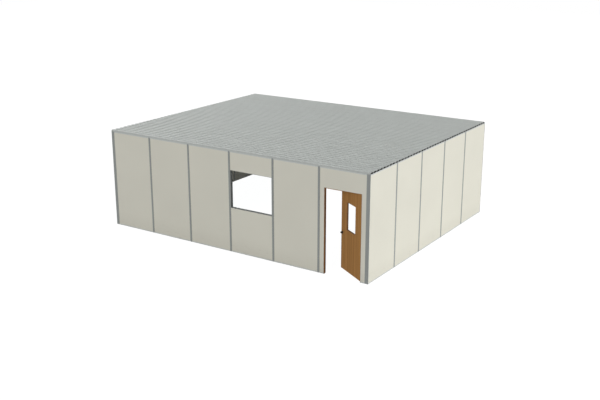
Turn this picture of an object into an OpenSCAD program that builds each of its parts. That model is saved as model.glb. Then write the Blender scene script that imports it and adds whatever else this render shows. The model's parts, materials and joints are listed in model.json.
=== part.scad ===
// Modular in-plant office: a flat-roofed room of slab panels held between mullions,
// with a ribbed metal roof deck, one window and one hinged door in the front wall.
// The origin is at floor level in the middle of the plan; +X runs along the front
// wall to the right, +Y runs to the back, +Z is up. All sizes are in millimetres.

/* [Building] */
// Width of one wall bay, from mullion centre to mullion centre
bay_w = 1219.2; // [1110:0.1:1500]
// Height of the walls, from the floor to the top of the top track
wall_h = 2438.4; // [2300:0.1:3100]
// Distance from the outer corner to the first mullion line of the front and back walls
corner_w = 43; // [40:1:100]
// How far the first side bay is shortened, because it starts at the front face
side_start = 22; // [0:1:100]
// Length left over at the back end of the side walls
side_end = 16; // [0:1:100]

/* [Walls] */
// Thickness of the wall panels
panel_t = 76.2; // [66:0.1:110]
// Sheet thickness of mullions, tracks and corner posts
sheet_t = 2; // [1.5:0.5:4]
// Width of a mullion's face
mullion_w = 50; // [40:1:80]
// Height of the track flanges at the foot and head of the walls
flange_h = 25; // [15:1:60]
// How far a corner post's face laps over the panel beside it
post_lap = 6; // [3:1:30]
// Width of a corner post's return on the side walls
post_return = 10; // [6:1:40]
// Width of a corner post's legs inside the room
post_leg = 25; // [15:1:60]

/* [Roof] */
// Depth of the roof deck's ribs
deck_h = 38; // [25:1:75]
// Sheet thickness of the roof deck
deck_t = 1.2; // [0.8:0.1:2]
// Wanted distance between ribs, rounded so that whole ribs fill the depth
rib_pitch = 138; // [120:1:200]
// Width of the flat on top of a rib
rib_top = 84; // [60:1:90]
// Horizontal run of a rib's sloping side
rib_slope = 8; // [4:1:12]
// Depth of the roof joists
joist_h = 152; // [100:1:250]
// Flange width of the roof joists
joist_w = 51; // [40:1:80]

/* [Door] */
// Width of the door leaf
leaf_w = 911; // [750:1:1000]
// Thickness of the door leaf
leaf_t = 45; // [35:1:50]
// Height of the doorway
door_h = 1985; // [1900:1:2200]
// Distance from the building's right corner to the doorway
door_corner = 195; // [180:1:240]
// Angle at which the door stands open
door_open = 32.5; // [0:0.5:90]
// Gap between the leaf and its frame
leaf_gap = 5; // [5:0.5:8]
// How much narrower the leaf's outer face is, so that its free edge clears the jamb
leaf_bevel = 2.5; // [2:0.5:5]
// Gap under the door leaf
floor_gap = 10; // [6:1:20]
// Width of the glazed opening in the door leaf
lite_w = 406; // [250:1:500]
// Height of the glazed opening in the door leaf
lite_h = 635; // [400:1:800]
// Height of the glazed opening's lower edge above the floor
lite_z = 975; // [950:1:1050]
// Height of the knob above the floor
knob_z = 860; // [800:1:900]
// Distance from the leaf's free edge to the knob's centre
backset = 60; // [60:1:70]

/* [Window] */
// Height of the window sill above the floor
sill_z = 1090; // [800:1:1200]
// Height of the window head above the floor
head_z = 1985; // [1900:1:2200]
// Thickness of the window's frame members
window_frame_t = 6; // [4:1:20]
// Thickness of the window glass
glass_t = 6; // [4:1:12]

/* [Hidden] */
front_bays = 6;
side_bays = 5;
window_bay = 4;
sheet_count = 11;

// Plan size and the common planes of the walls
width = front_bays * bay_w + 2 * corner_w;
depth = side_bays * bay_w - side_start + side_end;
wall_t = panel_t + 2 * sheet_t;
post_face = wall_t + post_lap;
panel_top = wall_h - sheet_t;
mullion_gap = 0.5;

// Mullion centres along the front wall from the left corner, and along the sides from the front
front_lines = [for (i = [1 : front_bays - 1]) corner_w + i * bay_w];
side_lines = [for (i = [1 : side_bays - 1]) i * bay_w - side_start];

// Doorway: the frame lining, its stop and the clearances around the leaf
frame_t = 4;
stop_w = 12;
stop_d = 15;
door_right = width - door_corner;
door_left = door_right - leaf_w - 2 * (leaf_gap + frame_t);
leaf_top = door_h - frame_t - leaf_gap;
stop_v = wall_t - leaf_t - leaf_gap - stop_d;

// Hinges: the pin stands just past the wall's inner face, in the middle of the leaf's gap
pin_r = 3;
pin_gap = 0.2;
knuckle_r = 6;
hinge_gap = 0.5;
hinge_h = 100;
hinge_plate_t = 2;
hinge_plate_w = 32;
knuckles = 5;
knuckle_h = hinge_h / knuckles;
pin_s = door_right - frame_t - leaf_gap / 2;
pin_v = wall_t + knuckle_r + hinge_gap;
hinge_zs = [floor_gap + 180, (floor_gap + leaf_top) / 2, leaf_top - 180];

// Door furniture and glazing
lite_frame_t = 6;
lite_glass_t = 5;
bore_r = 27;
rose_r = 31;
rose_t = 6;
knob_r = 25;
knob_reach = 54;
neck_r = 12;
spindle_r = 9;
turn_gap = 0.3;

// Window opening, between the faces of the two mullions of its bay
window_left = front_lines[window_bay - 2] + mullion_w / 2;
window_right = front_lines[window_bay - 1] - mullion_w / 2;

// Roof deck: whole ribs over the building's depth, shared out over the sheets
rib_count = round(depth / rib_pitch);
pitch = depth / rib_count;
rib_foot = rib_top + 2 * rib_slope;
web_t = deck_t * norm([rib_slope, deck_h]) / deck_h;
joist_t = 2;
joist_lip = 16;
clip_w = 100;

panel_colour = [0.80, 0.79, 0.74];
metal_colour = [0.53, 0.55, 0.54];
track_colour = [0.70, 0.71, 0.70];
deck_colour = [0.68, 0.70, 0.68];
wood_colour = [0.55, 0.40, 0.25];
frame_colour = [0.42, 0.30, 0.22];
glass_colour = [0.85, 0.92, 0.92, 0.3];
knob_colour = [0.20, 0.20, 0.19];

// ---- Wall frames: x runs along the wall, y from the outer face inwards ----

module at_front() { translate([-width / 2, -depth / 2, 0]) children(); }

module at_back() { mirror([0, 1, 0]) at_front() children(); }

module at_right() { translate([width / 2, -depth / 2, 0]) rotate(90) children(); }

module at_left() { mirror([1, 0, 0]) at_right() children(); }

// ---- Wall parts ----

// A slab between two stations along its wall and two heights
module slab(from, to, bottom = sheet_t, top = panel_top) {
    translate([from, sheet_t, bottom]) cube([to - from, panel_t, top - bottom]);
}

// The slabs of a plain wall, one to a bay, from one end station to the other
module slab_row(lines, from, to) {
    starts = concat([from], [for (m = lines) m + sheet_t / 2]);
    ends = concat([for (m = lines) m - sheet_t / 2], [to]);
    for (i = [0 : len(starts) - 1]) slab(starts[i], ends[i]);
}

// An H section: a web between the slab edges and a cap on each face of the wall
module mullion() {
    translate([0, 0, sheet_t]) linear_extrude(wall_h - 2 * sheet_t) {
        translate([-mullion_w / 2, 0]) square([mullion_w, sheet_t]);
        translate([-sheet_t / 2, 0]) square([sheet_t, wall_t]);
        translate([-mullion_w / 2, wall_t - sheet_t]) square([mullion_w, sheet_t]);
    }
}

module mullion_row(lines) { for (m = lines) translate([m, 0, 0]) mullion(); }

// A corner post at the left end of the front wall: a face over the end of the side wall,
// a short return, a divider between the two walls and an angle in the room's corner
module corner_post() {
    inner = wall_t - sheet_t;
    linear_extrude(wall_h) {
        square([post_face, sheet_t]);
        square([sheet_t, post_return]);
        translate([inner, 0]) square([sheet_t, wall_t + post_leg]);
        translate([inner, inner]) square([sheet_t + post_leg, sheet_t]);
    }
}

// A channel along a wall: its web on the floor, its flanges notched for the mullion caps
module track(length, web_end, outer_end, lines) {
    inner_end = wall_t + post_leg;
    notch = mullion_w + 2 * mullion_gap;
    difference() {
        union() {
            translate([web_end, sheet_t, 0]) cube([length - 2 * web_end, panel_t, sheet_t]);
            translate([outer_end, 0, 0]) cube([length - 2 * outer_end, sheet_t, flange_h]);
            translate([inner_end, wall_t - sheet_t, 0])
                cube([length - 2 * inner_end, sheet_t, flange_h]);
        }
        for (m = lines)
            translate([m - notch / 2, -1, sheet_t]) cube([notch, wall_t + 2, flange_h]);
    }
}

module front_track() { track(width, wall_t, post_face, front_lines); }

module side_track() { track(depth, sheet_t, post_return, side_lines); }

module head_of_wall() { translate([0, 0, wall_h]) mirror([0, 0, 1]) children(); }

// ---- Front wall ----

function bay_start(i) = i == 1 ? wall_t : front_lines[i - 2] + sheet_t / 2;

function bay_end(i) = i == front_bays ? width - wall_t : front_lines[i - 1] - sheet_t / 2;

module front_panel(i) {
    color(panel_colour) at_front() slab(bay_start(i), bay_end(i));
}

module window_panel_lower() {
    color(panel_colour) at_front()
        slab(bay_start(window_bay), bay_end(window_bay), sheet_t, sill_z - window_frame_t);
}

module window_panel_upper() {
    color(panel_colour) at_front()
        slab(bay_start(window_bay), bay_end(window_bay), head_z + window_frame_t);
}

module door_panel_left() {
    color(panel_colour) at_front() slab(bay_start(front_bays), door_left);
}

module door_panel_right() {
    color(panel_colour) at_front() slab(door_right, width - wall_t);
}

module door_panel_head() {
    color(panel_colour) at_front() slab(door_left, door_right, door_h);
}

// ---- Side and back walls ----

module back_wall_panels() {
    color(panel_colour) at_back() slab_row(front_lines, wall_t, width - wall_t);
}

module right_wall_panels() {
    color(panel_colour) at_right() slab_row(side_lines, sheet_t, depth - sheet_t);
}

module left_wall_panels() {
    color(panel_colour) at_left() slab_row(side_lines, sheet_t, depth - sheet_t);
}

// ---- Mullions, posts and tracks ----

module front_mullions() { color(metal_colour) at_front() mullion_row(front_lines); }

module back_mullions() { color(metal_colour) at_back() mullion_row(front_lines); }

module right_mullions() { color(metal_colour) at_right() mullion_row(side_lines); }

module left_mullions() { color(metal_colour) at_left() mullion_row(side_lines); }

module corner_post_front_left() { color(metal_colour) at_front() corner_post(); }

module corner_post_front_right() { mirror([1, 0, 0]) corner_post_front_left(); }

module corner_post_back_left() { mirror([0, 1, 0]) corner_post_front_left(); }

module corner_post_back_right() { mirror([0, 1, 0]) corner_post_front_right(); }

// The front base track stops on both sides of the doorway
module front_base_track() {
    color(track_colour) at_front() difference() {
        front_track();
        translate([door_left, -1, -1]) cube([door_right - door_left, wall_t + 2, flange_h + 2]);
    }
}

module back_base_track() { color(track_colour) at_back() front_track(); }

module side_base_tracks() {
    color(track_colour) {
        at_left() side_track();
        at_right() side_track();
    }
}

module front_top_track() { color(track_colour) at_front() head_of_wall() front_track(); }

module back_top_track() { color(track_colour) at_back() head_of_wall() front_track(); }

module side_top_tracks() {
    color(track_colour) {
        at_left() head_of_wall() side_track();
        at_right() head_of_wall() side_track();
    }
}

// ---- Roof ----

// A joist across the room under each mullion line: a lipped channel with an end plate
// bolted to the mullion cap at each wall
module joist() {
    span = depth - 2 * wall_t;
    translate([0, 0, wall_h - joist_h]) {
        translate([0, span / 2, 0]) rotate([90, 0, 0]) linear_extrude(span) {
            square([joist_t, joist_h]);
            square([joist_w, joist_t]);
            translate([0, joist_h - joist_t]) square([joist_w, joist_t]);
            translate([joist_w - joist_t, 0]) square([joist_t, joist_lip]);
            translate([joist_w - joist_t, joist_h - joist_lip]) square([joist_t, joist_lip]);
        }
        for (side = [-1, 1])
            translate([(joist_w - clip_w) / 2, side * (span - joist_t) / 2 - joist_t / 2, 0])
                cube([clip_w, joist_t, joist_h]);
    }
}

module roof_joists() {
    color(track_colour)
        for (m = front_lines) translate([m - width / 2 - joist_w / 2, 0, 0]) joist();
}

// Outline of one rib above its low flat, on the sheet's outer side and on its inner side
function rib_outside(i) = [
    [i * pitch + deck_run(deck_t), deck_t],
    [i * pitch + rib_slope, deck_h],
    [i * pitch + rib_slope + rib_top, deck_h],
    [i * pitch + 2 * rib_slope + rib_top - deck_run(deck_t), deck_t]
];

function rib_inside(i) = [
    [i * pitch + web_t, 0],
    [i * pitch + web_t + deck_run(deck_h - deck_t), deck_h - deck_t],
    [i * pitch + rib_foot - web_t - deck_run(deck_h - deck_t), deck_h - deck_t],
    [i * pitch + rib_foot - web_t, 0]
];

// Horizontal run of a rib's side up to a given height
function deck_run(z) = rib_slope * z / deck_h;

function sheet_start(i) = floor((i - 1) * rib_count / sheet_count);

function reversed(points) = [for (i = [len(points) - 1 : -1 : 0]) points[i]];

// One deck sheet: a folded strip of whole ribs, ending in a low flat against the next sheet
module roof_sheet(i) {
    first = sheet_start(i);
    last = sheet_start(i + 1) - 1;
    outside = [for (k = [first : last]) each rib_outside(k)];
    inside = [for (k = [first : last]) each rib_inside(k)];
    color(deck_colour)
        translate([-width / 2, -depth / 2, wall_h]) rotate([90, 0, 90])
            linear_extrude(width) polygon(concat(
                [[first * pitch, 0], [first * pitch, deck_t]], outside,
                [[(last + 1) * pitch, deck_t], [(last + 1) * pitch, 0]], reversed(inside)));
}

// ---- Window ----

module window_rails() {
    color(metal_colour) at_front() for (z = [sill_z - window_frame_t, head_z])
        translate([window_left, 0, z]) cube([window_right - window_left, wall_t, window_frame_t]);
}

module window_stiles() {
    color(metal_colour) at_front()
        for (s = [window_left, window_right - window_frame_t])
            translate([s, 0, sill_z]) cube([window_frame_t, wall_t, head_z - sill_z]);
}

module window_glass() {
    color(glass_colour) at_front()
        translate([window_left + window_frame_t, (wall_t - glass_t) / 2, sill_z])
            cube([window_right - window_left - 2 * window_frame_t, glass_t, head_z - sill_z]);
}

// ---- Door frame ----

// A lining the full thickness of the wall with a stop strip on its face
module jamb() {
    cube([frame_t, wall_t, door_h]);
    translate([frame_t, stop_v, 0]) cube([stop_w, stop_d, door_h - frame_t]);
}

module door_jambs() {
    color(frame_colour) at_front() {
        translate([door_left, 0, 0]) jamb();
        translate([door_right, 0, 0]) mirror([1, 0, 0]) jamb();
    }
}

module door_head() {
    length = door_right - door_left - 2 * frame_t;
    color(frame_colour) at_front() translate([door_left + frame_t, 0, door_h - frame_t]) {
        cube([length, wall_t, frame_t]);
        translate([stop_w, stop_v, -stop_w]) cube([length - 2 * stop_w, stop_d, stop_w]);
    }
}

// ---- Hinges: the parity of a knuckle says which half it belongs to ----

// A plate beside the pin with a tab and a knuckle at every other level;
// side is 1 for the half on the frame and -1 for the half on the leaf
module hinge_half(side, first) {
    edge = side * leaf_gap / 2;
    inner = min(edge, edge - side * hinge_plate_t);
    offset_v = knuckle_r + hinge_gap;
    translate([inner, -offset_v - hinge_plate_w, 0])
        cube([hinge_plate_t, hinge_plate_w, hinge_h]);
    for (k = [first : 2 : knuckles - 1]) translate([0, 0, k * knuckle_h + hinge_gap / 2]) {
        height = knuckle_h - hinge_gap;
        difference() {
            union() {
                cylinder(h = height, r = knuckle_r, $fn = 32);
                translate([inner, -offset_v, 0]) cube([hinge_plate_t, offset_v, height]);
            }
            translate([0, 0, -1]) cylinder(h = height + 2, r = pin_r + pin_gap, $fn = 32);
        }
    }
}

module door_hinges() {
    color(metal_colour) at_front() for (z = hinge_zs)
        translate([pin_s, pin_v, z - hinge_h / 2]) {
            hinge_half(1, 0);
            hinge_pin();
        }
}

// A pin held by a button at each end of the frame half's outer knuckles
module hinge_pin() {
    translate([0, 0, -2]) cylinder(h = hinge_h + 4, r = pin_r, $fn = 32);
    for (z = [-2, hinge_h - hinge_gap / 2]) translate([0, 0, z])
        cylinder(h = 2 + hinge_gap / 2, r = knuckle_r, $fn = 32);
}

// ---- Door leaf: x runs from the hinge pin towards the free edge, y from the room outwards ----

module at_door() {
    at_front() translate([pin_s, pin_v, 0]) rotate(-door_open)
        translate([-leaf_gap / 2, -knuckle_r - hinge_gap, 0]) mirror([0, 1, 0]) mirror([1, 0, 0])
            children();
}

lite_x = (leaf_w - lite_w) / 2;

module door_leaf() {
    color(wood_colour) at_door() difference() {
        translate([0, 0, floor_gap]) linear_extrude(leaf_top - floor_gap)
            polygon([[0, 0], [leaf_w, 0], [leaf_w - leaf_bevel, leaf_t], [0, leaf_t]]);
        translate([lite_x - lite_frame_t, -1, lite_z - lite_frame_t])
            cube([lite_w + 2 * lite_frame_t, leaf_t + 2, lite_h + 2 * lite_frame_t]);
        at_knob() translate([0, 0, -1]) cylinder(h = leaf_t + 2, r = bore_r, $fn = 48);
    }
}

module door_hinge_plates() {
    color(metal_colour) at_front() for (z = hinge_zs)
        translate([pin_s, pin_v, z - hinge_h / 2]) rotate(-door_open) hinge_half(-1, 1);
}

module door_lite_frame() {
    color(frame_colour) at_door() difference() {
        translate([lite_x - lite_frame_t, 0, lite_z - lite_frame_t])
            cube([lite_w + 2 * lite_frame_t, leaf_t, lite_h + 2 * lite_frame_t]);
        translate([lite_x, -1, lite_z]) cube([lite_w, leaf_t + 2, lite_h]);
    }
}

module door_glass() {
    color(glass_colour) at_door() translate([lite_x, (leaf_t - lite_glass_t) / 2, lite_z])
        cube([lite_w, lite_glass_t, lite_h]);
}

// Frame of the lockset: z runs through the leaf from its room face to its outer face
module at_knob() { translate([leaf_w - backset, 0, knob_z]) rotate([-90, 0, 0]) children(); }

module door_roses() {
    color(knob_colour) at_door() at_knob() for (z = [-rose_t, leaf_t])
        translate([0, 0, z]) difference() {
            cylinder(h = rose_t, r = rose_r, $fn = 48);
            translate([0, 0, -1]) cylinder(h = rose_t + 2, r = neck_r + turn_gap, $fn = 48);
        }
}

// Half of the knob's outline from the middle of the leaf to the knob's crown
module knob_half() {
    ball = leaf_t / 2 + knob_reach - knob_r;
    square([spindle_r, leaf_t / 2]);
    square([neck_r, ball]);
    translate([0, ball]) intersection() {
        circle(r = knob_r, $fn = 64);
        translate([0, -knob_r]) square([knob_r, 2 * knob_r]);
    }
}

module door_knobs() {
    color(knob_colour) at_door() at_knob() translate([0, 0, leaf_t / 2]) rotate_extrude($fn = 48) {
        knob_half();
        mirror([0, 1]) knob_half();
    }
}

front_panel(1);  // front_panel_1
front_panel(2);  // front_panel_2
front_panel(3);  // front_panel_3
front_panel(5);  // front_panel_5
window_panel_lower();
window_panel_upper();
door_panel_left();
door_panel_right();
door_panel_head();
back_wall_panels();
left_wall_panels();
right_wall_panels();
front_mullions();
back_mullions();
left_mullions();
right_mullions();
corner_post_front_left();
corner_post_front_right();
corner_post_back_left();
corner_post_back_right();
front_base_track();
back_base_track();
side_base_tracks();
front_top_track();
back_top_track();
side_top_tracks();
roof_joists();
roof_sheet(1);  // roof_sheet_1
roof_sheet(2);  // roof_sheet_2
roof_sheet(3);  // roof_sheet_3
roof_sheet(4);  // roof_sheet_4
roof_sheet(5);  // roof_sheet_5
roof_sheet(6);  // roof_sheet_6
roof_sheet(7);  // roof_sheet_7
roof_sheet(8);  // roof_sheet_8
roof_sheet(9);  // roof_sheet_9
roof_sheet(10);  // roof_sheet_10
roof_sheet(11);  // roof_sheet_11
window_rails();
window_stiles();
window_glass();
door_jambs();
door_head();
door_hinges();
door_leaf();
door_hinge_plates();
door_lite_frame();
door_glass();
door_roses();
door_knobs();
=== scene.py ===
"""Finishes, fasteners, seals and studio stage for a modular in-plant office.

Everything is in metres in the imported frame: +X runs along the front wall to the right,
+Y to the back and +Z up, with the origin on the floor in the middle of the plan.
"""

import itertools
import json
import math

import bpy
import numpy as np
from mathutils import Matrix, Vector


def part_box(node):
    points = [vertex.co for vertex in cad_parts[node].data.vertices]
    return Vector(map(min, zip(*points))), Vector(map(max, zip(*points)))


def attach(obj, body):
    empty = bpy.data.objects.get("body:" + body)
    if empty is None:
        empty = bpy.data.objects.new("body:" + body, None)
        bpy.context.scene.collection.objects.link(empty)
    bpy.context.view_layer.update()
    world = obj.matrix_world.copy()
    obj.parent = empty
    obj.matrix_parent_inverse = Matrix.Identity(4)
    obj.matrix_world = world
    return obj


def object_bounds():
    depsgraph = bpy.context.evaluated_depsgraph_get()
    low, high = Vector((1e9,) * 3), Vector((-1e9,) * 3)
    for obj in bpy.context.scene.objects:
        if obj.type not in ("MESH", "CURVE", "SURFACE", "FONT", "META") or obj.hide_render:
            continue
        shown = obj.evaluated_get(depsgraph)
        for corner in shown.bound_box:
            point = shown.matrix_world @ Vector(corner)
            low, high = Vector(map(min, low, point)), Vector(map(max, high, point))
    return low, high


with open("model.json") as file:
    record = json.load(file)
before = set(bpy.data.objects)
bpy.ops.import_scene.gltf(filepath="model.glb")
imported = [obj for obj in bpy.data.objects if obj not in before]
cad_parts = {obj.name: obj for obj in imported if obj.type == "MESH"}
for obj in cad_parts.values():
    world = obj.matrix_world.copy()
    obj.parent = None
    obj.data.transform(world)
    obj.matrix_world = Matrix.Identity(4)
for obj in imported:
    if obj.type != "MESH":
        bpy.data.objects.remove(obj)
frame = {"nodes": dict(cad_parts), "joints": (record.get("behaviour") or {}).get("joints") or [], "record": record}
LOW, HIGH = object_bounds()
JOINTS = {j["name"]: j for j in frame["joints"]}

bl_info = {
    "name": "Modular In-Plant Office",
    "version": (1, 0, 0),
    "blender": (4, 5, 0),
    "location": "3D View > Sidebar > Office",
    "description": "Finishes, fasteners, seals and stage for a modular office",
    "category": "Add Mesh",
}


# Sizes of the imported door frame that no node's box gives
FRAME_SHEET = 0.004  # thickness of the door frame
STOP_WIDTH = 0.012  # how far a door stop reaches into the doorway
STOP_FACE = 0.0302  # from the wall's outer face to the face of the stops
PIN_LENGTH = 0.104  # length of a hinge pin


# ---- Sizes and colours that a user would change ----


def length(name, description, default):
    """A size in metres."""
    return bpy.props.FloatProperty(
        name=name, description=description, default=default, min=0.0, unit="LENGTH"
    )


def colour(name, description, red, green, blue):
    """A colour given as written on a paint card, 0 to 255, and kept as linear light."""
    card = np.array([red, green, blue]) / 255
    linear = np.where(card <= 0.04045, card / 12.92, ((card + 0.055) / 1.055) ** 2.4)
    return bpy.props.FloatVectorProperty(
        name=name,
        description=description,
        default=tuple(float(x) for x in linear),
        min=0.0,
        max=1.0,
        subtype="COLOR",
    )


class OfficeSizes(bpy.types.PropertyGroup):
    """Sizes of the fasteners, seals and trims, and the layout that they follow."""

    bay: length("Bay width", "Distance between mullion centres", 1.2192)
    side_start: length("First side bay", "How much shorter the first side bay is", 0.022)
    cap_width: length("Mullion cap", "Width of a mullion's face", 0.05)
    sheet: length("Sheet", "Thickness of mullions, tracks and posts", 0.002)
    flange: length("Track flange", "Height of the track flanges", 0.025)
    deck_sheet: length("Deck sheet", "Thickness of the roof deck", 0.0012)
    rib_foot: length("Rib foot", "Width of a deck rib at its foot", 0.1)
    ribs: bpy.props.IntProperty(name="Ribs", description="Number of deck ribs", default=44)
    ribs_per_sheet: bpy.props.IntProperty(
        name="Ribs per sheet", description="Number of ribs on one deck sheet", default=4
    )
    joist_depth: length("Joist depth", "Depth of the roof joists", 0.152)
    washer: length("Washer", "Radius of a deck screw's washer", 0.008)
    screw_flats: length("Screw head", "Half the width across a deck screw's head", 0.004)
    stitch: length("Stitch spacing", "Distance between screws in a side lap", 0.6)
    lap: length("Side lap", "Width of the lip where two deck sheets overlap", 0.028)
    bead: length("Wall bead", "Width of the seal beside a mullion cap", 0.0022)
    glazing_bead: length("Glazing bead", "Width of the window's glazing bead", 0.006)
    lite_bead: length("Door lite bead", "Width of the bead round the door's glass", 0.008)
    gasket: length("Gasket", "How far a gasket shows past its bead", 0.0015)


class OfficeColours(bpy.types.PropertyGroup):
    """Colours of the finishes."""

    panel: colour("Panel", "Vinyl face of the wall panels", 226, 224, 211)
    paint: colour("Mullion", "Paint on mullions, posts and window frame", 151, 155, 153)
    track: colour("Track", "Coated sheet of the tracks", 209, 212, 209)
    deck: colour("Deck", "Galvanised sheet of the roof deck", 198, 202, 199)
    joist: colour("Joist", "Galvanised sheet of the joists", 196, 200, 198)
    wood: colour("Wood", "Light figure of the door's veneer", 186, 137, 82)
    wood_dark: colour("Dark wood", "Dark figure of the door's veneer", 156, 112, 64)
    frame: colour("Door frame", "Painted steel of the door frame", 150, 106, 64)
    steel: colour("Steel", "Satin steel of hinges and plates", 170, 170, 166)
    zinc: colour("Zinc", "Plated screws and bolts", 178, 180, 178)
    bronze: colour("Bronze", "Dark finish of the knobs and roses", 74, 70, 63)
    rubber: colour("Rubber", "Gaskets, washers and weather seal", 40, 40, 40)
    # Painted shade: near-black closures that stand in for the shaded hollow inside the deck's flutes
    foam: colour("Foam", "Closures in the deck's ribs", 24, 24, 23)
    glass: colour("Glass", "Tint of the panes", 254, 255, 255)


# ---- Shader expressions ----


class Wire:
    """A shader socket: arithmetic on it adds Math nodes, and make() adds any other node."""

    def __init__(self, tree, socket=None):
        self.tree, self.socket = tree, socket

    def make(self, kind, sockets=None, output=0, **settings):
        """Add a node with its settings, and give each socket a value or link a Wire to it."""
        node = self.tree.nodes.new(kind)
        for name, value in settings.items():
            setattr(node, name, value)
        for key, value in (sockets or {}).items():
            if isinstance(value, Wire):
                self.tree.links.new(value.socket, node.inputs[key])
            else:
                node.inputs[key].default_value = value
        return Wire(self.tree, node.outputs[output] if node.outputs else None)

    def math(self, operation, *values, clamp=False):
        """Arithmetic on values and Wires."""
        sockets = dict(enumerate(values))
        return self.make("ShaderNodeMath", sockets, operation=operation, use_clamp=clamp)

    def __add__(self, other):
        return self.math("ADD", self, other)

    def __radd__(self, other):
        return self.math("ADD", other, self)

    def __sub__(self, other):
        return self.math("SUBTRACT", self, other)

    def __rsub__(self, other):
        return self.math("SUBTRACT", other, self)

    def __mul__(self, other):
        return self.math("MULTIPLY", self, other)

    def __rmul__(self, other):
        return self.math("MULTIPLY", other, self)

    def clamp(self):
        return self.math("ADD", self, 0.0, clamp=True)

    def step(self, edge, soft):
        """0 below edge, 1 from edge + soft upwards, and even in between."""
        return ((self - edge) * (1 / soft)).clamp()

    def blend(self, low, high):
        """The colour low where self is 0 and high where it is 1."""
        ends = {0: self}
        for key, end in ((6, low), (7, high)):
            ends[key] = end if isinstance(end, Wire) else (*end, 1)
        return self.make("ShaderNodeMix", ends, output=2, data_type="RGBA")

    def stretched(self, x, y, z, turn=0.0):
        """The coordinates turned about Z and then scaled."""
        turned = self.make("ShaderNodeMapping", {"Vector": self, "Rotation": (0, 0, turn)})
        return self.make("ShaderNodeVectorMath", {0: turned, 1: (x, y, z)}, operation="MULTIPLY")

    def noise(self, scale, detail=2.0, rough=0.5):
        """Soft random values round 0.5 at the coordinates."""
        sockets = {"Vector": self, "Scale": scale, "Detail": detail, "Roughness": rough}
        return self.make("ShaderNodeTexNoise", sockets)

    def cells(self, scale):
        """One random value for each crystal-shaped cell."""
        sockets = {"Vector": self, "Scale": scale}
        random_colour = self.make("ShaderNodeTexVoronoi", sockets, output="Color")
        return self.make("ShaderNodeSeparateColor", {0: random_colour})

    def axis(self, which):
        """One of the coordinates, X, Y or Z."""
        return self.make("ShaderNodeSeparateXYZ", {0: self}, output=which)

    def bump(self, strength, depth, under=None):
        """A normal that follows self as a height."""
        sockets = {"Height": self, "Strength": strength, "Distance": depth}
        if under is not None:
            sockets["Normal"] = under
        return self.make("ShaderNodeBump", sockets)


def start_finish(name):
    """An empty material and its object coordinates."""
    material = bpy.data.materials.new(name)
    material.use_nodes = True
    material.node_tree.nodes.clear()
    return material, Wire(material.node_tree).make("ShaderNodeTexCoord", output="Object")


def end_finish(material, wire, **sockets):
    """Close a material with a Principled shader; each socket is a value or a Wire."""
    named = {key.replace("_", " "): value for key, value in sockets.items()}
    shader = wire.make("ShaderNodeBsdfPrincipled", named)
    wire.make("ShaderNodeOutputMaterial", {"Surface": shader})
    return material


def shade(tint, factor):
    """A colour made lighter or darker."""
    return tuple(min(1.0, float(x) * factor) for x in tint)


def vinyl_finish(tint):
    """Embossed vinyl: a fine pebble, faint clouding, and dust and scuffs near the floor."""
    material, place = start_finish("panel_vinyl")
    height = place.axis("Z")
    cloud = place.noise(0.9, 3)
    pebble = place.noise(420, 2)
    scuff = place.stretched(1, 1, 3).noise(6, 6, 0.7).step(0.56, 0.1)
    near_floor = 1 - height.step(0.03, 0.35)
    dust = near_floor * (0.35 + 0.65 * scuff)
    clean = cloud.step(0.3, 0.4).blend(shade(tint, 0.975), shade(tint, 1.01))
    wave = place.noise(2.2, 1).bump(0.25, 0.002)
    return end_finish(
        material,
        place,
        Base_Color=(dust * 0.3).blend(clean, (0.42, 0.38, 0.31)),
        Roughness=0.56 + 0.16 * pebble + 0.12 * dust,
        Specular_IOR_Level=0.12,
        Normal=pebble.bump(0.35, 0.0004, wave),
    )


def paint_finish(name, tint, rough=0.42):
    """Baked paint on rolled sheet: orange peel, faint upright streaks, worn low down."""
    material, place = start_finish(name)
    streak = place.stretched(14, 14, 0.5).noise(1, 4)
    peel = place.noise(260, 1)
    worn = (1 - place.axis("Z").step(0.02, 0.3)) * place.noise(30, 5, 0.7).step(0.55, 0.1)
    clean = streak.step(0.3, 0.4).blend(shade(tint, 0.95), shade(tint, 1.05))
    return end_finish(
        material,
        place,
        Base_Color=(worn * 0.35).blend(clean, shade(tint, 0.6)),
        Roughness=rough + 0.1 * streak + 0.15 * worn,
        Specular_IOR_Level=0.25,
        Normal=peel.bump(0.2, 0.0004),
    )


def galvanised_finish(name, tint, run, grime=None):
    """Zinc-coated sheet: spangle, rolling streaks along run, and grime below a height."""
    material, place = start_finish(name)
    spangle = place.stretched(1, 1, 0.8).cells(62)
    fine = place.cells(150)
    streak = place.stretched(*run).noise(1, 5)
    crystal = 0.65 * spangle + 0.35 * fine
    clean = crystal.blend(shade(tint, 0.93), shade(tint, 1.06))
    cloudy = (streak.step(0.35, 0.35) * 0.3).blend(clean, shade(tint, 0.84))
    if grime:
        patch = place.stretched(0.6, 9, 9).noise(1, 5, 0.6)
        low = 1 - place.axis("Z").step(grime, 0.012)
        dirt = low * (0.35 + 0.65 * patch.step(0.4, 0.3))
        cloudy = (dirt * 0.5).blend(cloudy, shade(tint, 0.62))
    return end_finish(
        material,
        place,
        Base_Color=cloudy,
        Roughness=0.5 + 0.2 * crystal,
        Specular_IOR_Level=0.04,
        Normal=crystal.bump(0.12, 0.0003),
    )


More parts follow.
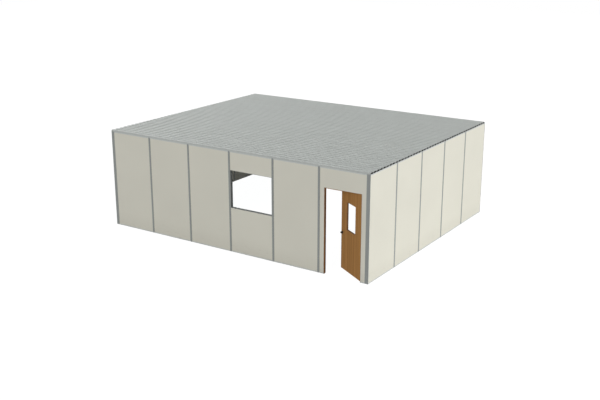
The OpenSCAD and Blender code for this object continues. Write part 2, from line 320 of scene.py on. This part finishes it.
def wood_finish(tint, dark, turn):
    """Upright veneer: slow figure, straight grain and pores in the leaf's own directions."""
    material, place = start_finish("oak_veneer")
    drift = place.stretched(2.2, 2.2, 0.55, turn).noise(1, 2) * 0.9
    grain_place = place.stretched(1, 1, 0.016, turn)
    along = place.stretched(1, 1, 1, turn).axis("X")
    figure = ((along * 26 + drift * 7) * 2 * math.pi).math("SINE") * 0.5 + 0.5
    band = grain_place.noise(16, 3, 0.6)
    grain = grain_place.noise(210, 3, 0.6)
    pore = place.stretched(1, 1, 0.03, turn).noise(620, 2).step(0.6, 0.12)
    mix = (0.15 * figure + 0.6 * band.step(0.38, 0.24) + 0.25 * grain.step(0.3, 0.4)).clamp()
    veneer = mix.blend(dark, tint)
    return end_finish(
        material,
        place,
        Base_Color=(pore * 0.45).blend(veneer, shade(dark, 0.55)),
        Roughness=0.46 + 0.12 * grain + 0.12 * pore,
        Specular_IOR_Level=0.03,
        Normal=(grain - pore * 0.8).bump(0.22, 0.0003),
    )


def metal_finish(name, tint, rough, metallic, brushed):
    """Bare or plated metal with fine brushing along one axis and slight tarnish."""
    material, place = start_finish(name)
    brush = place.stretched(*brushed).noise(1, 4, 0.7)
    tarnish = place.noise(45, 4, 0.6).step(0.45, 0.2)
    return end_finish(
        material,
        place,
        Base_Color=(tarnish * 0.35).blend(shade(tint, 1.05), shade(tint, 0.72)),
        Metallic=metallic,
        Roughness=rough + 0.16 * brush + 0.1 * tarnish,
        Normal=brush.bump(0.08, 0.0002),
    )


def rubber_finish(name, tint):
    """Extruded rubber, or closure foam whose near-black colour is painted shade: matt, with a faint bloom."""
    material, place = start_finish(name)
    bloom = place.noise(60, 4, 0.6)
    return end_finish(
        material,
        place,
        Base_Color=(bloom.step(0.4, 0.3) * 0.5).blend(tint, shade(tint, 1.9)),
        Roughness=0.68 + 0.16 * bloom,
        Specular_IOR_Level=0.2,
        Normal=place.noise(900, 1).bump(0.1, 0.0002),
    )


def glass_finish(tint):
    """Clear float glass with a faint film of dust."""
    material, place = start_finish("clear_glass")
    film = place.noise(7, 4, 0.6).step(0.5, 0.3)
    return end_finish(
        material,
        place,
        Base_Color=(film * 0.2).blend(tint, shade(tint, 0.99)),
        Roughness=0.004 + 0.02 * film,
        Transmission_Weight=1.0,
        IOR=1.2,
    )


# ---- Surfaces: a form is an array of points and a list of arrays of faces ----


def shell(points, capped=True):
    """Skin a grid points[section, around]: each section is a closed line, joined to the
    next by quads. A capped form has its first and last section filled; otherwise the
    last section joins the first. Faces are turned outwards by the sign of the volume."""
    sections, around = points.shape[:2]
    index = np.arange(sections * around).reshape(sections, around)
    rows = index if capped else np.vstack([index, index[:1]])
    near, far = rows[:-1], rows[1:]
    quads = np.stack([near, far, np.roll(far, -1, 1), np.roll(near, -1, 1)], -1)
    faces = [quads.reshape(-1, 4)]
    if capped:
        faces.append(np.stack([index[0], index[-1][::-1]]))
    flat = points.reshape(-1, 3)
    volume = 0.0
    for group in faces:
        first = group[:, :1].repeat(group.shape[1] - 2, 1)
        a, b, c = flat[np.stack([first, group[:, 1:-1], group[:, 2:]])]
        volume += float((a * np.cross(b, c)).sum())
    if volume < 0:
        faces = [group[:, ::-1] for group in faces]
    return flat, faces


def rings(radii, heights, flats=None, around=12):
    """Stacked rings: point(i, j) = (r_i cos t_j, r_i sin t_j, h_i) with t_j = 2 pi j / around.
    Where flats says so, r_i is divided by the cosine of the angle to the nearest of six
    flats, which turns the ring into a hexagon."""
    t = 2 * math.pi * np.arange(around) / around
    six = 1 / np.cos((t + math.pi / 6) % (math.pi / 3) - math.pi / 6)
    keep = np.array(flats if flats is not None else [0] * len(radii), float)[:, None]
    r = np.array(radii, float)[:, None] * (1 + keep * (six - 1))
    h = np.broadcast_to(np.array(heights, float)[:, None], r.shape)
    return shell(np.stack([r * np.cos(t), r * np.sin(t), h], -1))


def carried(path, across, up, profile, capped=True):
    """A profile carried along a path: point(i, j) = path_i + a_j across_i + b_j up, where
    (a_j, b_j) is the profile and across_i is longer at a mitre."""
    path, across, up, profile = (np.array(x, float) for x in (path, across, up, profile))
    sideways = across[:, None] * profile[None, :, :1]
    return shell(path[:, None] + sideways + up * profile[None, :, 1:], capped)


def copies(form, places):
    """The form repeated at each place."""
    points, faces = form
    places = np.array(places, float).reshape(-1, 3)
    steps = len(points) * np.arange(len(places))[:, None, None]
    moved = (points[None] + places[:, None]).reshape(-1, 3)
    return moved, [(group[None] + steps).reshape(-1, group.shape[1]) for group in faces]


def plate(half_y, half_z, corner, proud, edge, around=24):
    """A rounded plate that stands proud along X: each ring is a rectangle whose corners
    follow quarter circles, and the last is smaller by the eased edge."""
    t = 2 * math.pi * (np.arange(around) + 0.5) / around
    y = np.sign(np.cos(t)) * (half_y - corner) + corner * np.cos(t)
    z = np.sign(np.sin(t)) * (half_z - corner) + corner * np.sin(t)
    sections = [(0, 1.0), (proud - edge, 1.0), (proud, 1 - edge / half_y)]
    points = [np.stack([np.full(around, x), y * k, z * k], -1) for x, k in sections]
    return shell(np.stack(points))


def facing(form, x_axis, y_axis, z_axis):
    """The form with its own X, Y and Z laid along three right-handed directions."""
    points, faces = form
    return points @ np.array([x_axis, y_axis, z_axis], float), faces


def joined(forms):
    """Several forms as one."""
    starts = np.cumsum([0] + [len(points) for points, _ in forms])
    faces = [group + s for (_, groups), s in zip(forms, starts) for group in groups]
    return np.concatenate([points for points, _ in forms]), faces


def piece(name, form, material, body, smooth=0.0):
    """Make a form a mesh piece that rides on a body. Edges below the angle smooth are
    shaded round."""
    points, faces = form
    mesh = bpy.data.meshes.new(name)
    mesh.from_pydata(points.tolist(), [], [f for group in faces for f in group.tolist()])
    mesh.update()
    if smooth:
        mesh.shade_smooth()
        mesh.set_sharp_from_angle(angle=math.radians(smooth))
    mesh.materials.append(material)
    made = bpy.data.objects.new(name, mesh)
    bpy.context.scene.collection.objects.link(made)
    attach(made, body)
    return made


def finish(name):
    """A finish that the finishes operator has made."""
    found = bpy.data.materials.get(name)
    if found is None:
        raise RuntimeError("run the finishes operator first: there is no " + name)
    return found


# ---- Where things are ----


def leaf_frame():
    """The hinge pin in plan, and the leaf's directions along and out of its face."""
    swing = JOINTS["door_swing"]
    angle = -math.radians(swing["range_deg"][0])
    pin = np.array([swing["pos_m"][0], swing["pos_m"][1], 0.0])
    along = np.array([-math.cos(angle), math.sin(angle), 0.0])
    outwards = np.array([-math.sin(angle), -math.cos(angle), 0.0])
    return pin, along, outwards


def leaf_box(node):
    """Lowest and highest (along, out, up) of a door node, measured from the pin."""
    pin, along, outwards = leaf_frame()
    mesh = frame["nodes"][node].data
    flat = np.zeros(len(mesh.vertices) * 3, np.float32)
    mesh.vertices.foreach_get("co", flat)
    own = (flat.reshape(-1, 3) - pin) @ np.array([along, outwards, (0, 0, 1)]).T
    return own.min(0), own.max(0)


def at_leaf(form):
    """A form given in (along, out, up) from the pin, placed in the frame."""
    pin, along, outwards = leaf_frame()
    points, faces = form
    turned = points @ np.array([along, outwards, (0, 0, 1)])
    return turned + pin, [group[:, ::-1] for group in faces]


def mullion_lines(sizes):
    """X of the mullions of the front wall, which the joists share."""
    return (LOW.x + HIGH.x) / 2 + sizes.bay * np.arange(-2, 3)


def wall_depth():
    """Thickness of the walls, which the door's jambs line."""
    low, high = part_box("door_jambs")
    return high.y - low.y


def deck_top(sizes):
    """Height of the upper side of the deck's low flats."""
    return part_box("roof_sheet_1")[0].z + sizes.deck_sheet


def rib_pitch(sizes):
    """Distance between two ribs of the deck."""
    return (HIGH.y - LOW.y) / sizes.ribs


def wall_runs(sizes):
    """For each wall: a point on its outer face at floor level, the direction along it,
    the direction into the room, and its mullion stations."""
    front = mullion_lines(sizes)
    side = LOW.y + sizes.bay * np.arange(1, 5) - sizes.side_start
    return [
        ("front", (0, LOW.y, 0), (1, 0, 0), (0, 1, 0), front),
        ("back", (0, HIGH.y, 0), (1, 0, 0), (0, -1, 0), front),
        ("left", (LOW.x, 0, 0), (0, 1, 0), (1, 0, 0), side),
        ("right", (HIGH.x, 0, 0), (0, 1, 0), (-1, 0, 0), side),
    ]


# ---- Operators: one for each group of like pieces ----


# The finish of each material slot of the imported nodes
SLOT_FINISH = {
    "panel": "panel_vinyl",
    "mullion": "mullion_paint",
    "track": "track_sheet",
    "deck": "deck_sheet",
    "joist": "joist_sheet",
    "window_frame": "mullion_paint",
    "glass": "clear_glass",
    "door_wood": "oak_veneer",
    "door_frame": "frame_paint",
    "hinge": "satin_steel",
    "knob": "dark_bronze",
}


class OFFICE_OT_finishes(bpy.types.Operator):
    """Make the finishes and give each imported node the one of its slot"""

    bl_idname = "office.finishes"
    bl_label = "Finishes"

    def execute(self, context):
        tints = context.scene.office_colours
        turn = math.radians(-JOINTS["door_swing"]["range_deg"][0])
        deck_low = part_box("roof_sheet_1")[0].z
        grime_rise = 0.004
        vinyl_finish(tints.panel)
        paint_finish("mullion_paint", tints.paint)
        paint_finish("frame_paint", tints.frame, 0.5)
        galvanised_finish("track_sheet", tints.track, (0.8, 0.8, 14))
        galvanised_finish("deck_sheet", tints.deck, (0.35, 16, 3), deck_low + grime_rise)
        galvanised_finish("joist_sheet", tints.joist, (12, 0.8, 12))
        wood_finish(tints.wood, tints.wood_dark, turn)
        metal_finish("satin_steel", tints.steel, 0.3, 0.85, (8, 8, 500))
        metal_finish("plated_zinc", tints.zinc, 0.38, 0.7, (200, 200, 200))
        metal_finish("dark_bronze", tints.bronze, 0.34, 0.75, (60, 60, 60))
        rubber_finish("rubber", tints.rubber)
        # The closures' near-black colour is painted shade
        rubber_finish("foam", tints.foam)
        glass_finish(tints.glass)
        for part in frame["record"]["subparts"]:
            node = frame["nodes"][part["node"]]
            material = finish(SLOT_FINISH[part["material_slot"]])
            if not node.material_slots:
                node.data.materials.append(None)
            for place in node.material_slots:
                place.link = "OBJECT"
                place.material = material
        return {"FINISHED"}


class OFFICE_OT_deck_screws(bpy.types.Operator):
    """Add hex-head screws with sealing washers in the deck's low flats over each support"""

    bl_idname = "office.deck_screws"
    bl_label = "Deck screws"

    def execute(self, context):
        sizes = context.scene.office_sizes
        end_inset, off_middle = 0.04, 0.004
        pitch = rib_pitch(sizes)
        first = (sizes.rib_foot + pitch) / 2 - off_middle
        y = LOW.y + pitch * np.arange(sizes.ribs) + first
        x = [LOW.x + end_inset, *mullion_lines(sizes), HIGH.x - end_inset]
        places = np.stack(np.meshgrid(x, y, [deck_top(sizes)], indexing="ij"), -1)
        w, f = sizes.washer, sizes.screw_flats
        seal = rings([w - 0.0006, w, w - 0.0002], [0, 0.0008, 0.0022])
        head = rings(
            [w - 0.0009, w - 0.0012, f * 1.1, f, f, f * 0.86],
            [0.0022, 0.0031, 0.0037, 0.0038, 0.0082, 0.0088],
            [0, 0, 0, 1, 1, 0],
        )
        piece("deck_screw_seals", copies(seal, places), finish("rubber"), "building", 30)
        piece("deck_screws", copies(head, places), finish("plated_zinc"), "building", 30)
        return {"FINISHED"}


class OFFICE_OT_side_laps(bpy.types.Operator):
    """Add the lip where each deck sheet laps the next, with its stitch screws"""

    bl_idname = "office.side_laps"
    bl_label = "Side laps"

    def execute(self, context):
        sizes = context.scene.office_sizes
        first_screw, last_clear = 0.35, 0.2
        t, w = sizes.deck_sheet, sizes.lap
        top = deck_top(sizes)
        step = rib_pitch(sizes) * sizes.ribs_per_sheet
        seams = LOW.y + step * np.arange(1, round(sizes.ribs / sizes.ribs_per_sheet))
        lip = [(-w, 0), (-w - 0.001, 0.5 * t), (-w, 1.3 * t), (-w + 0.003, t)]
        lip += [(-0.001, t), (0.0012, 4 * t), (0.0002, 4 * t), (-0.0008, 0.2 * t)]
        run = [(LOW.x, 0, 0), (HIGH.x, 0, 0)]
        strip = carried(run, [(0, 1, 0)] * 2, (0, 0, 1), lip)
        places = [(0, y, top) for y in seams]
        piece("side_laps", copies(strip, places), finish("deck_sheet"), "building")
        x = np.arange(LOW.x + first_screw, HIGH.x - last_clear, sizes.stitch)
        spots = np.stack(np.meshgrid(x, seams - 0.6 * w, [top + t], indexing="ij"), -1)
        f = sizes.screw_flats * 0.85
        head = rings(
            [f * 1.75, f * 1.7, f * 1.02, f, f * 0.85],
            [0, 0.001, 0.0012, 0.005, 0.0055],
            [0, 0, 1, 1, 0],
        )
        piece("stitch_screws", copies(head, spots), finish("plated_zinc"), "building", 30)
        return {"FINISHED"}


class OFFICE_OT_flute_closures(bpy.types.Operator):
    """Add the foam closures that fill the deck's ribs over the side walls; their near-black colour is painted
    shade for the shaded hollow of the flutes
    """

    bl_idname = "office.flute_closures"
    bl_label = "Flute closures"

    def execute(self, context):
        sizes = context.scene.office_sizes
        inset, eased_by, end_depth = 0.002, 0.002, 0.032
        low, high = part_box("roof_sheet_1")
        pitch, foot, t = rib_pitch(sizes), sizes.rib_foot, 1.25 * sizes.deck_sheet
        rise, lean = high.z - low.z - t, 0.0078
        block = np.array([(t, 0), (foot - t, 0), (foot - t - lean, rise), (t + lean, rise)])
        middle = np.array([foot, rise]) / 2
        eased = middle + 0.96 * (block - middle)
        stages = ((inset, eased), (inset + eased_by, block), (end_depth, block))
        forms = []
        for end, inwards in ((LOW.x, 1), (HIGH.x, -1)):
            points = np.zeros((len(stages), len(block), 3))
            for section, (depth, outline) in zip(points, stages):
                section[:, 0] = end + inwards * depth
                section[:, 1:] = outline + (LOW.y, low.z)
            forms.append(copies(shell(points), [(0, pitch * k, 0) for k in range(sizes.ribs)]))
        piece("flute_closures", joined(forms), finish("foam"), "building")
        return {"FINISHED"}


class OFFICE_OT_wall_beads(bpy.types.Operator):
    """Add a soft seal in the corner between each mullion cap and its panels"""

    bl_idname = "office.wall_beads"
    bl_label = "Wall beads"

    def execute(self, context):
        sizes = context.scene.office_sizes
        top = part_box("front_mullions")[1].z - sizes.flange
        foot, near = sizes.flange + 0.001, 0.001
        # The window fills its bay, so the beads beside it stop at its sill and head
        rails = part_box("window_rails")
        b, t = sizes.bead, sizes.sheet
        profile = [(0, 0), (b, 0), (0.75 * b, 0.5 * t), (0.35 * b, 0.85 * t), (0, 0.95 * t)]
        forms = []
        for wall, origin, along, inwards, stations in wall_runs(sizes):
            origin, along, inwards = (np.array(x, float) for x in (origin, along, inwards))
            for station, side in itertools.product(stations, (-1, 1)):
                edge = station + side * sizes.cap_width / 2
                spans = [(foot, top)]
                if wall == "front" and min(abs(edge - rail.x) for rail in rails) < near:
                    spans = [(foot, rails[0].z), (rails[1].z, top)]
                for face, out in ((t, -inwards), (wall_depth() - t, inwards)):
                    base = origin + along * edge + inwards * face
                    for low, high in spans:
                        path = [base + (0, 0, low), base + (0, 0, high)]
                        forms.append(carried(path, [along * side] * 2, out, profile))
        piece("wall_beads", joined(forms), finish("rubber"), "building")
        return {"FINISHED"}


def glazing(low, high, bead, rise, gasket):
    """Mitred beads on both sides of an upright pane, from its lowest and highest corner,
    and the gaskets between bead and glass."""
    seat, bed = 0.0015, 0.0001
    section = [(0, seat), (bead, seat), (bead, 0.35 * rise), (0.55 * bead, 0.9 * rise)]
    section += [(0.4 * bead, rise), (0, rise)]
    show = bead + gasket
    seal = [(0.3 * bead, bed), (show, bed), (show, 0.6 * seat)]
    seal += [(bead + 0.4 * gasket, 1.6 * seat), (bead, 0.98 * seat), (0.3 * bead, 0.98 * seat)]
    inward = [(1, 0, 1), (-1, 0, 1), (-1, 0, -1), (1, 0, -1)]
    beads, gaskets = [], []
    for y, out in ((low[1], (0, -1, 0)), (high[1], (0, 1, 0))):
        path = [(low[0], y, low[2]), (high[0], y, low[2])]
        path += [(high[0], y, high[2]), (low[0], y, high[2])]
        beads.append(carried(path, inward, out, section, capped=False))
        gaskets.append(carried(path, inward, out, seal, capped=False))
    return joined(beads), joined(gaskets)


class OFFICE_OT_window_trim(bpy.types.Operator):
    """Add the window's glazing beads and gaskets"""

    bl_idname = "office.window_trim"
    bl_label = "Window trim"

    def execute(self, context):
        sizes = context.scene.office_sizes
        low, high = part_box("window_glass")
        beads, gaskets = glazing(low, high, sizes.glazing_bead, 0.009, sizes.gasket)
        piece("window_beads", beads, finish("mullion_paint"), "building")
        piece("window_gaskets", gaskets, finish("rubber"), "building")
        return {"FINISHED"}


class OFFICE_OT_door_lite_trim(bpy.types.Operator):
    """Add the beads and gaskets round the glass of the door"""

    bl_idname = "office.door_lite_trim"
    bl_label = "Door lite trim"

    def execute(self, context):
        sizes = context.scene.office_sizes
        low, high = leaf_box("door_glass")
        beads, gaskets = glazing(low, high, sizes.lite_bead, 0.014, sizes.gasket)
        paint, rubber = finish("frame_paint"), finish("rubber")
        piece("lite_beads", at_leaf(beads), paint, "door")
        piece("lite_gaskets", at_leaf(gaskets), rubber, "door")
        return {"FINISHED"}


class OFFICE_OT_door_hardware(bpy.types.Operator):
    """Add the strike, the latch with its faceplate, and the hinge screws"""

    bl_idname = "office.door_hardware"
    bl_label = "Door hardware"

    def execute(self, context):
        steel = finish("satin_steel")
        knob = JOINTS["knob_turn"]["pos_m"][2]
        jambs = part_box("door_jambs")
        leaf_low, leaf_high = leaf_box("door_leaf")
        strike_rise, half_leaf = 0.0012, (leaf_high[1] - leaf_low[1]) / 2
        place = np.array([jambs[0].x + FRAME_SHEET, jambs[1].y - half_leaf, knob])
        strike = plate(0.014, 0.0285, 0.005, strike_rise, 0.0005)
        # Painted shade: a flat dark sheet on the strike where its latch hole and the hole's shade would be
        hole_shade = copies(plate(0.0065, 0.012, 0.001, 0.0003, 0.0001), place + (strike_rise, 0, 0))
        piece("strike_plate", copies(strike, place), steel, "building")
        piece("strike_pocket", hole_shade, finish("rubber"), "building")

        half_bevel = 0.00125
        place = (leaf_high[0] - half_bevel, leaf_low[1] + half_leaf, knob)
        faceplate = plate(0.0125, 0.0285, 0.004, 0.0018, 0.0004)
        bolt = plate(0.0062, 0.0095, 0.002, 0.0034, 0.0008)
        latch = joined([copies(faceplate, place), copies(bolt, place)])
        piece("latch", at_leaf(latch), steel, "door")

        low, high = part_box("door_hinges")
        rise, spacing, plate_face = (high.z - low.z - PIN_LENGTH) / 2, 0.035, 0.0005
        centre = (high.z + low.z) / 2
        rows = [centre + rise * k + spacing * m for k in (-1, 0, 1) for m in (-1, 0, 1)]
        screw = rings([0.0042, 0.0041, 0.0032, 0.0016], [0, 0.0002, 0.00035, 0.0001])
        on_frame = facing(screw, (0, 0, 1), (0, 1, 0), (-1, 0, 0))
        spots = [(leaf_frame()[0][0] + plate_face, low.y + 0.014, z) for z in rows]
        piece("frame_hinge_screws", copies(on_frame, spots), steel, "building", 30)
        on_leaf = facing(screw, (0, 1, 0), (0, 0, -1), (-1, 0, 0))
        spots = [(plate_face, 0.024, z) for z in rows]
        piece("leaf_hinge_screws", at_leaf(copies(on_leaf, spots)), steel, "door", 30)
        return {"FINISHED"}


class OFFICE_OT_door_seal(bpy.types.Operator):
    """Add the bulb seal on the door stops, up one side, over the head and down the other"""

    bl_idname = "office.door_seal"
    bl_label = "Door seal"

    def execute(self, context):
        jambs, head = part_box("door_jambs"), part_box("door_head")
        face = jambs[0].y + STOP_FACE
        inset, foot = FRAME_SHEET + STOP_WIDTH / 2, 0.004
        left, right, top = jambs[0].x + inset, jambs[1].x - inset, head[1].z - inset
        path = [(left, face, foot), (left, face, top), (right, face, top), (right, face, foot)]
        across = [(1, 0, 0), (1, 0, -1), (-1, 0, -1), (-1, 0, 0)]
        wing, web, radius, centre = 0.0045, 0.0008, 0.0026, 0.0014
        t = np.linspace(0, math.pi, 9)
        bulb = [(-wing, 0), (wing, 0), (wing, web)]
        bulb += list(zip(radius * np.cos(t), centre + radius * np.sin(t)))
        bulb += [(-wing, web)]
        form = carried(path, across, (0, 1, 0), bulb)
        piece("door_seal", form, finish("rubber"), "building", 40)
        return {"FINISHED"}


class OFFICE_OT_room_fixings(bpy.types.Operator):
    """Add the bolts of the joists' end plates and the screws of the mullions' inner caps"""

    bl_idname = "office.room_fixings"
    bl_label = "Room fixings"

    def execute(self, context):
        sizes = context.scene.office_sizes
        zinc = finish("plated_zinc")
        low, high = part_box("roof_joists")
        bolt = rings(
            [0.011, 0.011, 0.0085, 0.0085, 0.0075],
            [0, 0.0018, 0.002, 0.0075, 0.0085],
            [0, 0, 1, 1, 0],
        )
        beside, apart = 0.036, 0.05
        x = (mullion_lines(sizes)[:, None] + (-beside, beside)).ravel()
        z = high.z - sizes.joist_depth / 2 + apart * np.arange(-1, 2)
        forms = []
        for y, inwards in ((low.y + sizes.sheet, 1), (high.y - sizes.sheet, -1)):
            spots = np.stack(np.meshgrid(x, [y], z, indexing="ij"), -1)
            turned = facing(bolt, (inwards, 0, 0), (0, 0, -1), (0, inwards, 0))
            forms.append(copies(turned, spots))
        piece("joist_bolts", joined(forms), zinc, "building", 30)

        pan = rings([0.0038, 0.0038, 0.0032, 0.0018], [0, 0.0012, 0.0022, 0.0026])
        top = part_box("front_mullions")[1].z
        forms = []
        for _, origin, along, inwards, stations in wall_runs(sizes):
            origin, along, inwards = (np.array(x, float) for x in (origin, along, inwards))
            turned = facing(pan, along, np.cross(inwards, along), inwards)
            base = origin + inwards * wall_depth()
            heights = (0.012, 0.06, 0.6, 1.2, 1.8, top - 0.2)
            spots = [base + along * s + (0, 0, z) for z in heights for s in stations]
            forms.append(copies(turned, spots))
        piece("cap_screws", joined(forms), zinc, "building", 30)
        return {"FINISHED"}


def directly_seen(wire):
    """1 for rays from the camera, off gloss and through glass, and 0 for light on surfaces."""
    kinds = ("Is Camera Ray", "Is Glossy Ray", "Is Transmission Ray")
    seen, *others = [wire.make("ShaderNodeLightPath", output=kind) for kind in kinds]
    for other in others:
        seen = seen + other
    return seen.clamp()


class OFFICE_OT_stage(bpy.types.Operator):
    """Add the floor, the white surround, the soft lamps and the camera"""

    bl_idname = "office.stage"
    bl_label = "Stage"

    def execute(self, context):
        scene = context.scene
        mesh = bpy.data.meshes.new("floor")
        reach = 60
        corners = [(-reach, -reach, 0), (reach, -reach, 0), (reach, reach, 0), (-reach, reach, 0)]
        mesh.from_pydata(corners, [], [(0, 1, 2, 3)])
        floor = bpy.data.objects.new("floor", mesh)
        scene.collection.objects.link(floor)
        # The floor looks white but lights the walls only a little
        material, place = start_finish("studio_floor")
        tone = place.noise(0.4, 2).step(0.2, 0.6).blend((0.97, 0.97, 0.97), (1, 1, 1))
        matt = place.make("ShaderNodeBsdfDiffuse", {"Color": tone})
        dim = place.make("ShaderNodeBsdfDiffuse", {"Color": (0.3, 0.3, 0.3, 1)})
        glow = place.make("ShaderNodeEmission", {"Strength": 1.1})
        white = place.make("ShaderNodeMixShader", {0: 0.1, 1: glow, 2: matt})
        surface = place.make("ShaderNodeMixShader", {0: directly_seen(place), 1: dim, 2: white})
        place.make("ShaderNodeOutputMaterial", {"Surface": surface})
        mesh.materials.append(material)

        world = bpy.data.worlds.new("studio")
        world.use_nodes = True
        world.node_tree.nodes.clear()
        scene.world = world
        sky = Wire(world.node_tree)
        light = {"Color": (1, 1, 1, 1), "Strength": 0.1 + 0.9 * directly_seen(sky)}
        surround = sky.make("ShaderNodeBackground", light)
        sky.make("ShaderNodeOutputWorld", {"Surface": surround})

        # Each sun: the direction it shines from, its strength and its width in degrees
        for name, towards, strength, angle in (
            ("key_lamp", (0.875, 0.25, 0.385), 2.9, 24),
            ("front_lamp", (-0.1, -0.95, 0.28), 1.65, 30),
            ("rim_lamp", (-0.78, 0.56, 0.28), 1.3, 36),
        ):
            lamp = bpy.data.lights.new(name, "SUN")
            lamp.energy = strength
            lamp.angle = math.radians(angle)
            made = bpy.data.objects.new(name, lamp)
            made.rotation_mode = "QUATERNION"
            made.rotation_quaternion = Vector(towards).to_track_quat("Z", "Y")
            made.location = Vector(towards) * 12
            scene.collection.objects.link(made)

        lamp = bpy.data.lights.new("room_lamp", "POINT")
        lamp.energy, lamp.shadow_soft_size = 26, 0.6
        made = bpy.data.objects.new("room_lamp", lamp)
        made.location = ((LOW.x + HIGH.x) / 2, (LOW.y + HIGH.y) / 2, 1.6)
        made.visible_camera = made.visible_glossy = made.visible_transmission = False
        scene.collection.objects.link(made)

        lens = bpy.data.cameras.new("camera")
        lens.sensor_width, lens.lens = 36, 53.74
        lens.clip_end = 200
        camera = bpy.data.objects.new("camera", lens)
        # It stands off the front right corner and looks down along these two angles
        azimuth, elevation = math.radians(33.534), math.radians(17.064)
        level = math.cos(elevation)
        sideways, forwards = math.sin(azimuth) * level, -math.cos(azimuth) * level
        back = Vector((sideways, forwards, math.sin(elevation)))
        camera.location = (HIGH.x + 8.629, LOW.y - 15.658, LOW.z + 7.364)
        camera.rotation_mode = "QUATERNION"
        camera.rotation_quaternion = (-back).to_track_quat("-Z", "Y")
        scene.collection.objects.link(camera)
        scene.camera = camera
        scene.view_settings.view_transform = "Standard"
        return {"FINISHED"}


OPERATORS = (
    OFFICE_OT_finishes,
    OFFICE_OT_deck_screws,
    OFFICE_OT_side_laps,
    OFFICE_OT_flute_closures,
    OFFICE_OT_wall_beads,
    OFFICE_OT_window_trim,
    OFFICE_OT_door_lite_trim,
    OFFICE_OT_door_hardware,
    OFFICE_OT_door_seal,
    OFFICE_OT_room_fixings,
    OFFICE_OT_stage,
)


class OFFICE_PT_panel(bpy.types.Panel):
    """The office's operators, sizes and colours"""

    bl_label = "Modular Office"
    bl_idname = "OFFICE_PT_panel"
    bl_space_type = "VIEW_3D"
    bl_region_type = "UI"
    bl_category = "Office"

    def draw(self, context):
        for operator in OPERATORS:
            self.layout.operator(operator.bl_idname)
        for group in (context.scene.office_sizes, context.scene.office_colours):
            box = self.layout.box()
            for name in type(group).__annotations__:
                box.prop(group, name)


CLASSES = (OfficeSizes, OfficeColours, *OPERATORS, OFFICE_PT_panel)


def register():
    for made in CLASSES:
        bpy.utils.register_class(made)
    bpy.types.Scene.office_sizes = bpy.props.PointerProperty(type=OfficeSizes)
    bpy.types.Scene.office_colours = bpy.props.PointerProperty(type=OfficeColours)


def unregister():
    del bpy.types.Scene.office_colours
    del bpy.types.Scene.office_sizes
    for made in reversed(CLASSES):
        bpy.utils.unregister_class(made)


def main():
    register()
    for operator in OPERATORS:
        name = operator.bl_idname.split(".")[1]
        getattr(bpy.ops.office, name)()


if __name__ == "__main__":
    main()
